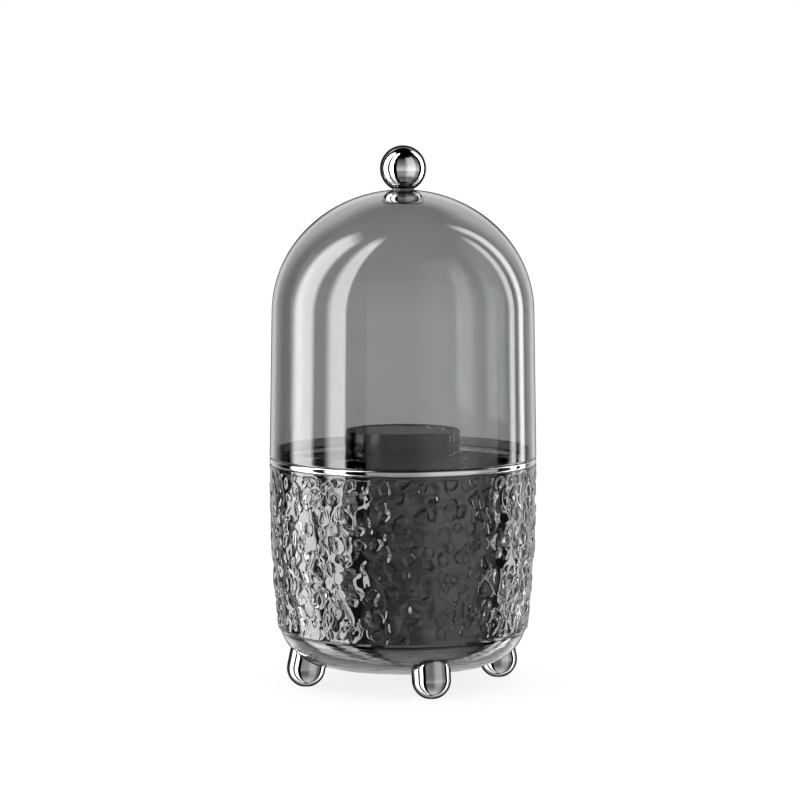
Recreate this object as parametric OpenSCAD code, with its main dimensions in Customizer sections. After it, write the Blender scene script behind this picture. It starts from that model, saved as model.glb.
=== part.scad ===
// Dustproof makeup organizer: a smoky clear dome that lifts off a relief-walled cup on four
// chrome feet. A smooth liner hangs in the cup by its flange, and a divider with a centre tube
// stands in the liner. Millimetres, +Z up, origin on the table under the middle of the cup.

/* [Outer cup] */
// Outer diameter of the cup over its relief
cup_d = 122.4; // [116:0.2:128]
// Height of the cup's rim above the table
cup_rim_z = 100.9; // [94:0.1:106]
// Gap between the table and the cup's flat underside
ground_gap = 9.5; // [8:0.1:11]
// Radius of the corner between the underside and the wall
corner_r = 20.5; // [17:0.5:24]
// Height at which the wall is widest
belly_z = 85; // [78:1:90]
// How far the wall leans out where it leaves the corner, in degrees
wall_lean = 7; // [4:0.5:9]
// Wall of the cup behind the relief
cup_wall = 2; // [1.6:0.1:2.6]
// How far the relief stands out from the wall
relief_h = 1; // [0.4:0.1:1.2]
// Height of the relief's lower edge above the table
relief_low_z = 24.4; // [22:0.1:27]
// Smooth margin between the relief and the rim
rim_margin = 3.5; // [2:0.5:6]
// Dents side by side round the relief
dent_columns = 24; // [20:1:28]
// Rows of dents up the relief
dent_rows = 4; // [3:1:5]
// Radius of the round cutter that leaves a dent
dent_r = 21; // [16:1:24]
// Depth of an average dent
dent_depth = 0.75; // [0.5:0.05:0.9]

/* [Liner] */
// Wall of the liner
liner_wall = 2; // [1.6:0.1:2.6]
// Gap between the liner and the cup
liner_gap = 0.4; // [0.3:0.1:0.6]
// Height of the flange that rests on the cup's rim
flange_h = 2.8; // [2:0.1:4]
// Radius of the flange's outer edges
flange_edge_r = 0.9; // [0.5:0.1:1]
// Height of the collar above the flange
collar_h = 4.4; // [3:0.1:6]

/* [Dome cover] */
// How far the straight side leans in from its foot to its shoulder
dome_draft = 1.1; // [0.6:0.1:2]
// Height of the straight side
dome_side_h = 66.3; // [60:0.5:72]
// Height of the crown above the straight side
dome_crown_h = 56; // [52:0.5:58]
// Wall of the dome
dome_wall = 1.9; // [1.6:0.1:2.4]
// Gap between the dome and the collar
dome_fit_gap = 0.5; // [0.3:0.1:0.8]
// Diameter of the flat seat on the crown
crown_seat_d = 12; // [11.5:0.5:14]
// Thickness of the crown at its seat
crown_t = 2.1; // [1.8:0.1:2.6]

/* [Knob] */
// Diameter of the ball
ball_d = 21; // [19:0.5:24]
// Height of the ball's centre above its gasket
ball_rise = 9.2; // [8.8:0.1:9.4]
// Diameter of the short neck under the ball
neck_d = 10.4; // [10.2:0.1:11.4]
// Thickness of the gasket under the neck
gasket_t = 0.6; // [0.4:0.1:1]
// Diameter of the flange inside the crown
clamp_d = 19.2; // [16:0.2:20]
// Height of the flange inside the crown
clamp_h = 4.4; // [4:0.1:5]
// Diameter of the screw
screw_d = 4; // [3:0.5:4]
// Length of the screw's thread inside the ball
screw_bite = 8; // [6:0.5:10]

/* [Divider and centre tube] */
// Outer diameter of the centre tube
tube_d = 52.2; // [46:0.2:56]
// Wall of the centre tube
tube_wall = 2.4; // [1.8:0.1:3]
// Height of the centre tube's rim above the table
tube_rim_z = 116.6; // [112:0.1:118]
// Thickness of the centre tube's floor
tube_floor = 2; // [1.6:0.1:3]
// Thickness of the divider's fins
fin_t = 2; // [1.6:0.1:3]
// Height of the fins' top edges above the table
fin_top_z = 82; // [70:1:84]
// Radius of each fin's upper outer corner
fin_corner_r = 8; // [3:0.5:12]
// Gap between the divider and the liner
divider_gap = 0.5; // [0.4:0.1:1]
// Thickness of the divider's base
base_t = 1.6; // [1.2:0.1:2.4]
// Height of the socket that holds the centre tube
socket_h = 9; // [6:0.5:14]
// Wall of the socket
socket_wall = 2; // [1.6:0.1:2.6]
// Gap between the socket and the centre tube
socket_gap = 0.2; // [0.1:0.1:0.4]

/* [Feet] */
// Diameter of each foot
foot_d = 17.6; // [15:0.2:19]
// Distance from the cup's widest line in to the middle of each foot's tip
foot_inset = 15.2; // [14:0.2:18]
// Outward lean of each foot, in degrees
foot_splay = 12; // [6:1:14]
// Diameter of the flat on each foot's tip
foot_flat_d = 6; // [4:0.5:8]

/* [Hidden] */
$fn = 96;

arc_steps = 14;         // straight bands in each round stretch of a profile
crown_steps = 30;       // straight bands in the dome's crown
overcut = 1;            // how far a cutter runs past what it cuts
edge_break = 0.4;       // rounding of thin rims

// Cup and liner: every wall is the same core curve, moved inwards by its depth below the core.
core_r = cup_d / 2 - relief_h;
corner_z = ground_gap + corner_r;
blend_z = corner_z - corner_r * sin(wall_lean);
wall_bow = tan(wall_lean) / (2 * (belly_z - blend_z));
corner_x = core_r - wall_bow * pow(belly_z - blend_z, 2) - corner_r * cos(wall_lean);
liner_depth = cup_wall + liner_gap;
liner_inside = liner_depth + liner_wall;
divider_depth = liner_inside + divider_gap;
liner_floor_z = ground_gap + liner_inside;

// Dome, from its lower edge up
dome_z = cup_rim_z + flange_h;
dome_foot_r = core_r + relief_h - edge_break / 2;
dome_shoulder_r = dome_foot_r - dome_draft;
dome_shoulder_z = dome_z + dome_side_h;
collar_r = dome_foot_r - dome_wall - dome_fit_gap;
collar_z = dome_z + collar_h;
crown_seat_r = crown_seat_d / 2;
crown_seat_z = dome_shoulder_z + dome_crown_h * sin(acos(crown_seat_r / dome_shoulder_r));

// Knob, from the clamp inside the crown to the ball
clamp_top_z = crown_seat_z - crown_t;
gasket_top_z = crown_seat_z + gasket_t;
ball_z = gasket_top_z + ball_rise;
screw_hole_d = screw_d + 0.2;
screw_head_d = screw_d * 1.8;
screw_head_h = screw_d * 0.6;
screw_head_z = clamp_top_z - clamp_h + 0.3;
screw_tip_z = gasket_top_z + screw_bite;

// Divider and centre tube
base_top_z = liner_floor_z + base_t;
socket_bore_d = tube_d + 2 * socket_gap;
socket_d = socket_bore_d + 2 * socket_wall;

// Feet
foot_circle_r = cup_d / 2 - foot_inset;
foot_centre_z = sqrt(pow(foot_d / 2, 2) - pow(foot_flat_d / 2, 2));
foot_shank = ground_gap + 1.1;  // straight part above the round tip, long enough to reach the bowl

smoke = [0.30, 0.31, 0.31, 0.45];
dark_smoke = [0.22, 0.22, 0.22, 0.6];
chrome = [0.82, 0.83, 0.84];

// Points along an arc, from angle a0 to a1
function arc(cx, cy, r, a0, a1, steps = arc_steps) =
    [for (i = [0:steps]) let (a = a0 + (a1 - a0) * i / steps) [cx + r * cos(a), cy + r * sin(a)]];

// Radius of the core curve on the side wall at height z
function side_r(z) = core_r - wall_bow * pow(max(belly_z - z, 0), 2);

// Radius of the core curve at height z, on the corner or the side wall
function core_at(z) =
    z < blend_z ? corner_x + sqrt(pow(corner_r, 2) - pow(corner_z - z, 2)) : side_r(z);

// The side wall from z0 to z1, moved inwards by depth
function side(depth, z0, z1, steps = arc_steps) =
    [for (i = [0:steps]) let (z = z0 + (z1 - z0) * i / steps) [side_r(z) - depth, z]];

// The rounded corner, moved inwards by depth, up to where the side wall starts
function corner(depth) =
    arc(corner_x, corner_z, corner_r - depth, -90, -wall_lean);

// A wall's line from the middle of the floor up to height top, moved inwards by depth
function cup_line(depth, top) = concat(
    [[0, ground_gap + depth]],
    corner(depth),
    side(depth, blend_z + edge_break, top)
);

function reversed(points) = [for (i = [len(points) - 1:-1:0]) points[i]];

// Relief band: it stands out from the core curve between its lower edge and the rim margin
function relief_line(depth) =
    let (low = relief_low_z, high = cup_rim_z - rim_margin)
    concat(
        [[core_at(low) - edge_break, low], [core_at(low) + relief_h / 2, low + relief_h]],
        [for (i = [1:arc_steps])
            let (z = low + relief_h + (high - low - relief_h) * i / arc_steps)
            [core_at(z) + relief_h, z]],
        [[dome_foot_r, high + relief_h], [dome_foot_r, cup_rim_z - edge_break]],
        [[dome_foot_r - edge_break, cup_rim_z]]
    );

// Solid body of revolution that fills the smooth bowl below the relief
module bowl_solid() {
    rotate_extrude()
        polygon(concat(
            [[0, ground_gap]],
            arc(corner_x, corner_z, corner_r, -90, -asin((corner_z - relief_low_z) / corner_r)),
            [[0, relief_low_z]]
        ));
}

// Cutters for the main dents of the relief. Every second row is set over by half a dent, and
// each dent strays a little in angle, height and depth, as in melted ice.
module relief_dents() {
    low = relief_low_z;
    pitch = (cup_rim_z - rim_margin - low) / dent_rows;
    turn = 360 / dent_columns;
    for (row = [0:dent_rows - 1], column = [0:dent_columns - 1]) {
        angle = turn * (column + row / 2 + 0.14 * sin(97 * column + 61 * row));
        z = low + pitch * (row + 0.5 + 0.1 * sin(71 * column + 43 * row));
        depth = dent_depth * (1 + 0.25 * sin(53 * column + 31 * row));
        rotate([0, 0, angle])
            translate([core_at(z) + relief_h + dent_r - depth, 0, z])
                sphere(r = dent_r);
    }
}

module outer_cup() {
    inside = cup_line(cup_wall, cup_rim_z);
    color(smoke)
        difference() {
            rotate_extrude()
                polygon(concat(
                    [[0, ground_gap]],
                    arc(corner_x, corner_z, corner_r, -90,
                        -asin((corner_z - relief_low_z) / corner_r)),
                    relief_line(0),
                    reversed(inside)
                ));
            relief_dents();
        }
}

module inner_liner() {
    outside = cup_line(liner_depth, cup_rim_z);
    inside = cup_line(liner_inside, collar_z - edge_break);
    flange_r = dome_foot_r;
    color(smoke)
        rotate_extrude()
            polygon(concat(
                outside,
                arc(flange_r - flange_edge_r, cup_rim_z + flange_edge_r, flange_edge_r, -90, 0, 4),
                arc(flange_r - flange_edge_r, dome_z - flange_edge_r, flange_edge_r, 0, 90, 4),
                [[collar_r, dome_z], [collar_r, collar_z - edge_break]],
                [[collar_r - edge_break, collar_z]],
                [[core_r - liner_inside + edge_break, collar_z]],
                reversed(inside)
            ));
}

// One fin of the divider, as an outline in radius and height
module fin_outline() {
    outer_r = side_r(fin_top_z) - divider_depth;
    polygon(concat(
        [[socket_bore_d / 2 + socket_wall / 2, base_top_z - base_t / 2]],
        [[corner_x, base_top_z - base_t / 2]],
        arc(corner_x, corner_z, corner_r - divider_depth, -78, -wall_lean),
        side(divider_depth, blend_z + edge_break, fin_top_z - fin_corner_r),
        arc(outer_r - fin_corner_r, fin_top_z - fin_corner_r, fin_corner_r, 10, 90, 6),
        [[tube_d / 2 + socket_gap, fin_top_z], [tube_d / 2 + socket_gap, base_top_z + socket_h / 2]],
        [[socket_bore_d / 2 + socket_wall / 2, base_top_z + socket_h / 2]]
    ));
}

module divider() {
    color(dark_smoke)
        union() {
            translate([0, 0, liner_floor_z]) cylinder(d = 2 * corner_x, h = base_t);
            difference() {
                translate([0, 0, liner_floor_z]) cylinder(d = socket_d, h = base_t + socket_h);
                translate([0, 0, base_top_z]) cylinder(d = socket_bore_d, h = socket_h + overcut);
            }
            for (turn = [45:90:315])
                rotate([0, 0, turn])
                    rotate([90, 0, 0])
                        linear_extrude(fin_t, center = true) fin_outline();
        }
}

module centre_tube() {
    bore_r = tube_d / 2 - tube_wall;
    rim_r = tube_wall / 2;
    color(dark_smoke)
        rotate_extrude()
            polygon(concat(
                [[0, base_top_z], [tube_d / 2 - edge_break, base_top_z]],
                [[tube_d / 2, base_top_z + edge_break]],
                arc(bore_r + rim_r, tube_rim_z - rim_r, rim_r, 0, 180, 8),
                [[bore_r, base_top_z + tube_floor], [0, base_top_z + tube_floor]]
            ));
}

// A bullet-shaped foot that leans outwards, with its top cut to the bowl's underside
module foot(turn) {
    r = foot_d / 2;
    color(chrome)
        rotate([0, 0, turn])
            difference() {
                translate([foot_circle_r, 0, foot_centre_z])
                    rotate([0, -foot_splay, 0])
                        rotate_extrude()
                            intersection() {
                                union() {
                                    circle(r = r);
                                    translate([-r, 0]) square([2 * r, foot_shank]);
                                }
                                translate([0, -r]) square([r, foot_shank + r]);
                            }
                translate([0, 0, -foot_d]) cylinder(r = cup_d, h = foot_d);
                bowl_solid();
            }
}

module dome_cover() {
    inner_shoulder_r = dome_shoulder_r - dome_wall;
    inner_crown_h = clamp_top_z - dome_shoulder_z;
    clamp_seat_r = clamp_d / 2 - clamp_h / 4;
    seat_a = acos(crown_seat_r / dome_shoulder_r);
    inner_a = acos(clamp_seat_r / inner_shoulder_r);
    inner_h = inner_crown_h / sin(inner_a);
    color(smoke)
        rotate_extrude()
            polygon(concat(
                [[dome_foot_r - dome_wall + edge_break, dome_z]],
                [[dome_foot_r - edge_break, dome_z], [dome_foot_r, dome_z + edge_break]],
                [for (i = [0:crown_steps]) let (a = seat_a * i / crown_steps)
                    [dome_shoulder_r * cos(a), dome_shoulder_z + dome_crown_h * sin(a)]],
                [[screw_hole_d / 2, crown_seat_z], [screw_hole_d / 2, clamp_top_z]],
                [for (i = [crown_steps:-1:0]) let (a = inner_a * i / crown_steps)
                    [inner_shoulder_r * cos(a), dome_shoulder_z + inner_h * sin(a)]],
                [[dome_foot_r - dome_wall, dome_z + edge_break]]
            ));
}

module knob_ball() {
    color(chrome)
        difference() {
            union() {
                translate([0, 0, ball_z]) sphere(d = ball_d);
                translate([0, 0, gasket_top_z]) cylinder(d = neck_d, h = ball_rise / 2);
            }
            translate([0, 0, gasket_top_z - ball_d]) cylinder(d = 2 * ball_d, h = ball_d);
            translate([0, 0, gasket_top_z - overcut])
                cylinder(d = screw_d, h = screw_bite + 2 * overcut);
        }
}

module knob_gasket() {
    color([0.75, 0.76, 0.76, 0.6])
        difference() {
            translate([0, 0, crown_seat_z]) cylinder(d = neck_d - edge_break, h = gasket_t);
            translate([0, 0, crown_seat_z - overcut])
                cylinder(d = screw_hole_d, h = gasket_t + 2 * overcut);
        }
}

// Bun-shaped flange that clamps the crown from inside, recessed underneath for the screw's head
module knob_clamp() {
    bottom_z = clamp_top_z - clamp_h;
    round_r = clamp_h / 2;
    head_r = screw_head_d / 2 + 0.3;
    color(chrome)
        rotate_extrude()
            polygon(concat(
                [[screw_hole_d / 2, clamp_top_z]],
                [[screw_hole_d / 2, screw_head_z + screw_head_h]],
                [[head_r, screw_head_z + screw_head_h], [head_r, bottom_z]],
                arc(clamp_d / 2 - round_r, clamp_top_z - round_r, round_r, -90, 90)
            ));
}

// Pan-head screw that pulls the ball and the clamp together through the crown
module knob_screw() {
    color(chrome)
        difference() {
            union() {
                translate([0, 0, screw_head_z]) cylinder(d = screw_head_d, h = screw_head_h);
                translate([0, 0, screw_head_z]) cylinder(d = screw_d, h = screw_tip_z - screw_head_z);
            }
            for (turn = [0, 90])
                rotate([0, 0, turn])
                    translate([0, 0, screw_head_z])
                        cube([screw_head_d * 0.6, screw_d / 5, screw_head_h], center = true);
        }
}

outer_cup();
inner_liner();
divider();
centre_tube();
foot(-90);  // foot_front
foot(0);  // foot_right
foot(90);  // foot_back
foot(180);  // foot_left
dome_cover();
knob_ball();
knob_gasket();
knob_clamp();
knob_screw();
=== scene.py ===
"""Looks of a dome-covered makeup organizer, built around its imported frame.

Every shell is turned here as a fine mesh with true rounded edges, because clear plastic and
chrome show each facet. The relief of the cup is carved into its outer wall. The lengths of the
pieces are in millimetres, and each mesh is scaled to metres as it is made.
"""

import logging
import math
from dataclasses import dataclass, field
from enum import Enum
from typing import Callable, Sequence

import bpy
import numpy as np
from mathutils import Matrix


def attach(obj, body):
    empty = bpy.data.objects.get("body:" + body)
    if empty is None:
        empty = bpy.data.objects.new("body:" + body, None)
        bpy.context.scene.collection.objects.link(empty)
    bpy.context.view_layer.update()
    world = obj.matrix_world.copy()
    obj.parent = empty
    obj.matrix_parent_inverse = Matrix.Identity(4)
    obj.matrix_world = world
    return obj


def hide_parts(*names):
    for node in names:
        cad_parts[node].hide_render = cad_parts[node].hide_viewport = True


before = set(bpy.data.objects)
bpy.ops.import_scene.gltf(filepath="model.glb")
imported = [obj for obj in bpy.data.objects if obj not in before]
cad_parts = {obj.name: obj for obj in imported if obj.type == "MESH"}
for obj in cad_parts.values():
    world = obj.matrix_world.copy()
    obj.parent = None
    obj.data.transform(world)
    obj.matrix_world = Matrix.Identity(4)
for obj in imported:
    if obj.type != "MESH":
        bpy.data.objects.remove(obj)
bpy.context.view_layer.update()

LOG = logging.getLogger("organizer")
MM = 0.001
CLEAR_BOUNCES = 40  # a path crosses many nested walls before it leaves the object
GLOSS_BOUNCES = 12
VIEW_AZIMUTH = math.radians(16)  # the camera stands this far to the left of the front foot
LEAST_RUN = 1e-6  # a shorter step than this is no step, and a smaller radius lies on the axis
LEAST_STEP = 1e-4  # a curve's points that are nearer than this are one point
SHARP_TURN = math.radians(24)  # a sharper turn of an outline breaks the shading
Point = tuple[float, float]
Range = tuple[float, float]
Scales = tuple[float, float, float]
Colour = tuple[float, float, float]


class Body(Enum):
    """Rigid bodies of the frame that pieces ride on."""

    CUP = "cup"
    INSERT = "insert"
    DOME = "dome"


class Slot(Enum):
    """Material slots of the record."""

    SMOKY = "smoky_clear"
    DARK_SMOKY = "dark_smoky_clear"
    CHROME = "chrome"
    GASKET = "clear_gasket"
    SCREW = "screw_steel"


# --------------------------------------------------------------------------- shader maths


class Socket:
    """A shader value that takes part in plain arithmetic and adds the Math nodes it needs."""

    def __init__(self, tree: "Tree", output: bpy.types.NodeSocket) -> None:
        """Wraps one output socket of a node tree."""
        self.tree = tree
        self.output = output

    def _math(self, operation: str, *values: "Socket | float") -> "Socket":
        """Adds one Math node.

        Args:
            operation: name of the Math operation.
            values: its inputs in order, as sockets or plain numbers.

        Returns:
            The node's result.
        """
        return self.tree.value("ShaderNodeMath", {"operation": operation}, dict(enumerate(values)))

    def __add__(self, other: "Socket | float") -> "Socket":
        """Sum with a socket or number."""
        return self._math("ADD", self, other)

    __radd__ = __add__

    def __sub__(self, other: "Socket | float") -> "Socket":
        """Difference, self less other."""
        return self._math("SUBTRACT", self, other)

    def __rsub__(self, other: float) -> "Socket":
        """Difference, other less self."""
        return self._math("SUBTRACT", other, self)

    def __mul__(self, other: "Socket | float") -> "Socket":
        """Product with a socket or number."""
        return self._math("MULTIPLY", self, other)

    __rmul__ = __mul__

    def __truediv__(self, other: "Socket | float") -> "Socket":
        """Quotient, self over other."""
        return self._math("DIVIDE", self, other)

    def __rpow__(self, other: float) -> "Socket":
        """A number raised to this value."""
        return self._math("POWER", other, self)

    def __abs__(self) -> "Socket":
        """Absolute value."""
        return self._math("ABSOLUTE", self)

    def rise(self, low: float, high: float) -> "Socket":
        """A soft step.

        Args:
            low: value at which the step starts.
            high: value at which it is complete; below low, the step falls instead.

        Returns:
            0 to 1 as the value goes from low to high.
        """
        start, end = (0.0, 1.0) if low < high else (1.0, 0.0)
        return self.tree.value("ShaderNodeMapRange",
                               {"interpolation_type": "SMOOTHSTEP", "clamp": True},
                               {"Value": self, "From Min": min(low, high),
                                "From Max": max(low, high), "To Min": start, "To Max": end})

    def band(self, low: float, high: float, soft: float) -> "Socket":
        """A soft-edged band.

        Args:
            low: middle of its lower edge.
            high: middle of its upper edge.
            soft: half the width of each edge.

        Returns:
            1 inside the band and 0 outside it.
        """
        return self.rise(low - soft, low + soft) * self.rise(high + soft, high - soft)


class Tree:
    """A node tree that nodes are added to by type, settings and inputs."""

    def __init__(self, tree: bpy.types.NodeTree) -> None:
        """Empties the tree and takes it over."""
        self.tree = tree
        tree.nodes.clear()

    def node(self, kind: str, settings: dict | None = None,
             inputs: dict | None = None) -> bpy.types.Node:
        """Adds one node.

        Args:
            kind: the node's type name.
            settings: attributes to set first.
            inputs: socket name or index to a value, a Socket or another node's output.

        Returns:
            The new node.
        """
        node = self.tree.nodes.new(kind)
        for key, setting in (settings or {}).items():
            setattr(node, key, setting)
        for key, value in (inputs or {}).items():
            target = node.inputs[key]
            if isinstance(value, Socket):
                self.tree.links.new(value.output, target)
            elif isinstance(value, bpy.types.NodeSocket):
                self.tree.links.new(value, target)
            else:
                target.default_value = value
        return node

    def value(self, kind: str, settings: dict | None = None, inputs: dict | None = None,
              output: int | str = 0) -> Socket:
        """Adds one node and returns one of its outputs as a Socket.

        Args:
            kind: the node's type name.
            settings: as in node.
            inputs: as in node.
            output: name or index of the output wanted.

        Returns:
            That output.
        """
        return Socket(self, self.node(kind, settings, inputs).outputs[output])

    def blend(self, share: Socket, first: "Socket | Colour",
              second: "Socket | Colour") -> Socket:
        """Mixes two colours.

        Args:
            share: how much of the second colour there is, from 0 to 1.
            first: the colour where the share is 0.
            second: the colour where the share is 1.

        Returns:
            The mixed colour.
        """
        ends = [end if isinstance(end, Socket) else (*end, 1) for end in (first, second)]
        return self.value("ShaderNodeMix", {"data_type": "RGBA"},
                          {0: share, 6: ends[0], 7: ends[1]}, output=2)

    def axes(self, place: Socket) -> list[Socket]:
        """Splits a place into its x, y and z."""
        split = self.node("ShaderNodeSeparateXYZ", None, {"Vector": place})
        return [Socket(self, output) for output in split.outputs]

    def noise(self, place: Socket, scale: float, detail: float,
              distortion: float = 0.0) -> Socket:
        """Adds a noise in space.

        Args:
            place: where it is read.
            scale: how fine its grain is.
            detail: how many finer grains lie over it.
            distortion: how far the grain is twisted.

        Returns:
            Its height, from 0 to 1.
        """
        return self.value("ShaderNodeTexNoise", {"noise_dimensions": "3D"},
                          {"Vector": place, "Scale": scale, "Detail": detail,
                           "Distortion": distortion})

    def bump(self, height: Socket, distance: float,
             strength: float = 1.0) -> bpy.types.NodeSocket:
        """Bends the normal by a height.

        Args:
            height: the height, in units of the distance.
            distance: what a height of 1 stands for, in metres.
            strength: share of the bend that shows.

        Returns:
            The bent normal.
        """
        return self.node("ShaderNodeBump", None, {
            "Strength": strength, "Distance": distance, "Height": height}).outputs["Normal"]

    def gloss(self, inputs: dict) -> None:
        """Makes the surface a glossy shader with the given inputs."""
        shader = self.node("ShaderNodeBsdfPrincipled", None, inputs)
        self.node("ShaderNodeOutputMaterial", None, {"Surface": shader.outputs["BSDF"]})


# --------------------------------------------------------------------------- finishes


def new_material(name: str) -> tuple[bpy.types.Material, Tree]:
    """Makes an empty node material.

    Args:
        name: the material's name.

    Returns:
        The material and its tree.
    """
    material = bpy.data.materials.new(name)
    material.use_nodes = True
    return material, Tree(material.node_tree)


@dataclass(frozen=True)
class Bead:
    """Thinly plated bead that runs round the outer edge of a shell."""

    bottom: float
    top: float
    radius: float
    soft: float = 0.1
    plating: float = 0.6
    colour: Colour = (0.90, 0.905, 0.91)

    def mask(self, tree: Tree, place: Socket) -> Socket:
        """Where the plating lies.

        Args:
            tree: tree of the material that carries the bead.
            place: point in the piece's own space, in metres.

        Returns:
            1 on the bead and 0 off it.
        """
        x, y, z = tree.axes(place)
        soft, radius = self.soft * MM, self.radius * MM
        reach = (x * x + y * y).rise((radius - soft) ** 2, (radius + soft) ** 2)
        return reach * z.band(self.bottom * MM, self.top * MM, soft)


@dataclass(frozen=True)
class Bowl:
    """Lower part of a shell, whose thinner plastic lets more light through, with an optional dark
    line of painted shade under the step above it.
    """

    top: float
    passes: Colour
    blend: float = 1.5
    streak_height: float = 0.25
    streak_stretch: Scales = (0.25, 0.25, 2.5)
    streak_scale: float = 160.0
    # painted shade: a near-black colour band just under the step, standing in for the shade where
    # the plastic is seen edge-on
    painted_shade_height: float = 0.0
    painted_shade_soft: float = 0.15
    painted_shade_colour: Colour = (0.01, 0.01, 0.01)

    def streaks(self, tree: Tree, place: Socket) -> Socket:
        """Long level flow marks of the moulding, in millimetres.

        Args:
            tree: tree of the shell's material.
            place: point in the piece's own space, in metres.

        Returns:
            Their height.
        """
        stretched = tree.value("ShaderNodeVectorMath", {"operation": "MULTIPLY"},
                               {0: place, 1: self.streak_stretch})
        return self.streak_height * tree.noise(stretched, self.streak_scale, 2.0)

    def mask(self, tree: Tree, place: Socket) -> Socket:
        """Where the thinner plastic lies.

        Args:
            tree: tree of the shell's material.
            place: point in the piece's own space, in metres.

        Returns:
            1 in the bowl and 0 above it.
        """
        return tree.axes(place)[2].rise((self.top + self.blend) * MM,
                                        (self.top - self.blend) * MM)

    def seam(self, tree: Tree, place: Socket) -> Socket:
        """Where a dark line of painted shade lies, just under the step above the bowl, where the
        plastic is seen edge-on.

        Args:
            tree: tree of the shell's material.
            place: point in the piece's own space, in metres.

        Returns:
            1 under the step and 0 elsewhere.
        """
        low, high = self.top - self.painted_shade_height, self.top + self.painted_shade_soft
        return tree.axes(place)[2].band(low * MM, high * MM, self.painted_shade_soft * MM)


@dataclass(frozen=True)
class ClearPlastic:
    """Moulded see-through plastic, tinted by the share of light that one wall lets through."""

    name: str
    slot: Slot
    passes: Colour
    index: float = 1.49
    base_roughness: float = 0.004
    smear_roughness: float = 0.02
    smear_scale: float = 38.0
    smeared: Range = (0.52, 0.75)
    flow_height: float = 0.004
    flow_scale: float = 21.0
    haze: float = 0.0
    slant: float = 0.66
    bowl: Bowl | None = None
    bead: Bead | None = None

    @property
    def surfaces(self) -> float:
        """Share of light that the two faces of a wall let through between them."""
        return (1 - ((self.index - 1) / (self.index + 1)) ** 2) ** 2

    def build(self) -> bpy.types.Material:
        """Makes the material: clean gloss, faint handling smears and moulding flow.

        Returns:
            The material.
        """
        material, tree = new_material(self.name)
        place = tree.value("ShaderNodeTexCoord", output="Object")
        smear = tree.noise(place, self.smear_scale, 4.0, 0.6)
        height = self.flow_height * tree.noise(place, self.flow_scale, 1.0)
        facing = tree.value("ShaderNodeLayerWeight", None, {"Blend": 0.5}, "Facing")
        slant = 1 + self.slant * facing
        colour, metal = self._tint(tree, self.passes, slant), 0.0
        if self.bowl:
            thin = self.bowl.mask(tree, place)
            height = height + thin * self.bowl.streaks(tree, place)
            colour = tree.blend(thin, colour, self._tint(tree, self.bowl.passes, slant))
            # painted shade: the near-black line under the step
            if self.bowl.painted_shade_height:
                colour = tree.blend(self.bowl.seam(tree, place), colour, self.bowl.painted_shade_colour)
        if self.bead:
            band = self.bead.mask(tree, place)
            colour, metal = tree.blend(band, colour, self.bead.colour), self.bead.plating * band
        tree.gloss({
            "Base Color": colour, "IOR": self.index, "Transmission Weight": 1 - self.haze,
            "Metallic": metal, "Normal": tree.bump(height, MM),
            "Roughness": self.base_roughness + self.smear_roughness * smear.rise(*self.smeared)})
        return material

    def _tint(self, tree: Tree, passes: Colour, slant: Socket) -> Socket:
        """Colour of the wall, deeper where light crosses it at a slant.

        Args:
            tree: tree of the material.
            passes: share of light that the wall lets straight through.
            slant: path through the wall as a multiple of its thickness.

        Returns:
            The colour.
        """
        shares = [min(1.0, share / self.surfaces) ** slant for share in passes]
        return tree.value("ShaderNodeCombineColor", None, dict(enumerate(shares)))


@dataclass(frozen=True)
class Chrome:
    """Bright plated metal with faint wiping marks, darkened towards its outline by painted shade.
    """

    name: str
    slot: Slot
    colour: Colour = (0.90, 0.905, 0.91)
    # painted shade: the colour and the facing range at which the plating turns dark towards its
    # outline, standing in for a dark reflection
    painted_outline_shade: Colour = (0.02, 0.02, 0.021)
    edge: Range = (0.53, 0.59)
    base_roughness: float = 0.015
    wipe_roughness: float = 0.05
    wipe_scale: float = 160.0
    wiped: Range = (0.55, 0.8)
    wave_height: float = 0.002
    wave_scale: float = 90.0

    def build(self) -> bpy.types.Material:
        """Makes the material: mirror plating, with painted shade that turns it dark where it is
        seen edge-on, and faint marks.

        Returns:
            The material.
        """
        material, tree = new_material(self.name)
        place = tree.value("ShaderNodeTexCoord", output="Object")
        wipes = tree.noise(place, self.wipe_scale, 5.0, 1.2)
        wave = tree.noise(place, self.wave_scale, 1.0)
        facing = tree.value("ShaderNodeLayerWeight", None, {"Blend": 0.5}, "Facing")
        # painted shade: the plating turns black and stops being metal where it is seen edge-on
        edge = facing.rise(*self.edge)
        tree.gloss({
            "Base Color": tree.blend(edge, self.colour, self.painted_outline_shade),
            "Metallic": 1 - edge, "IOR": 1.0, "Normal": tree.bump(wave, self.wave_height * MM),
            "Roughness": self.base_roughness + self.wipe_roughness * wipes.rise(*self.wiped)})
        return material


@dataclass(frozen=True)
class Silicone:
    """Clear, slightly milky gasket rubber."""

    name: str
    slot: Slot
    colour: Colour = (0.80, 0.82, 0.81)
    index: float = 1.41
    clearness: float = 0.8
    mottle_height: float = 0.02
    mottle_scale: float = 700.0

    def build(self) -> bpy.types.Material:
        """Makes the material: translucent with a soft mottled surface.

        Returns:
            The material.
        """
        material, tree = new_material(self.name)
        place = tree.value("ShaderNodeTexCoord", output="Object")
        mottle = tree.noise(place, self.mottle_scale, 3.0)
        tree.gloss({
            "Base Color": (*self.colour, 1), "IOR": self.index,
            "Transmission Weight": self.clearness, "Roughness": 0.2 + 0.2 * mottle,
            "Normal": tree.bump(mottle, self.mottle_height * MM, 0.5)})
        return material


# --------------------------------------------------------------------------- turned meshes


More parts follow.
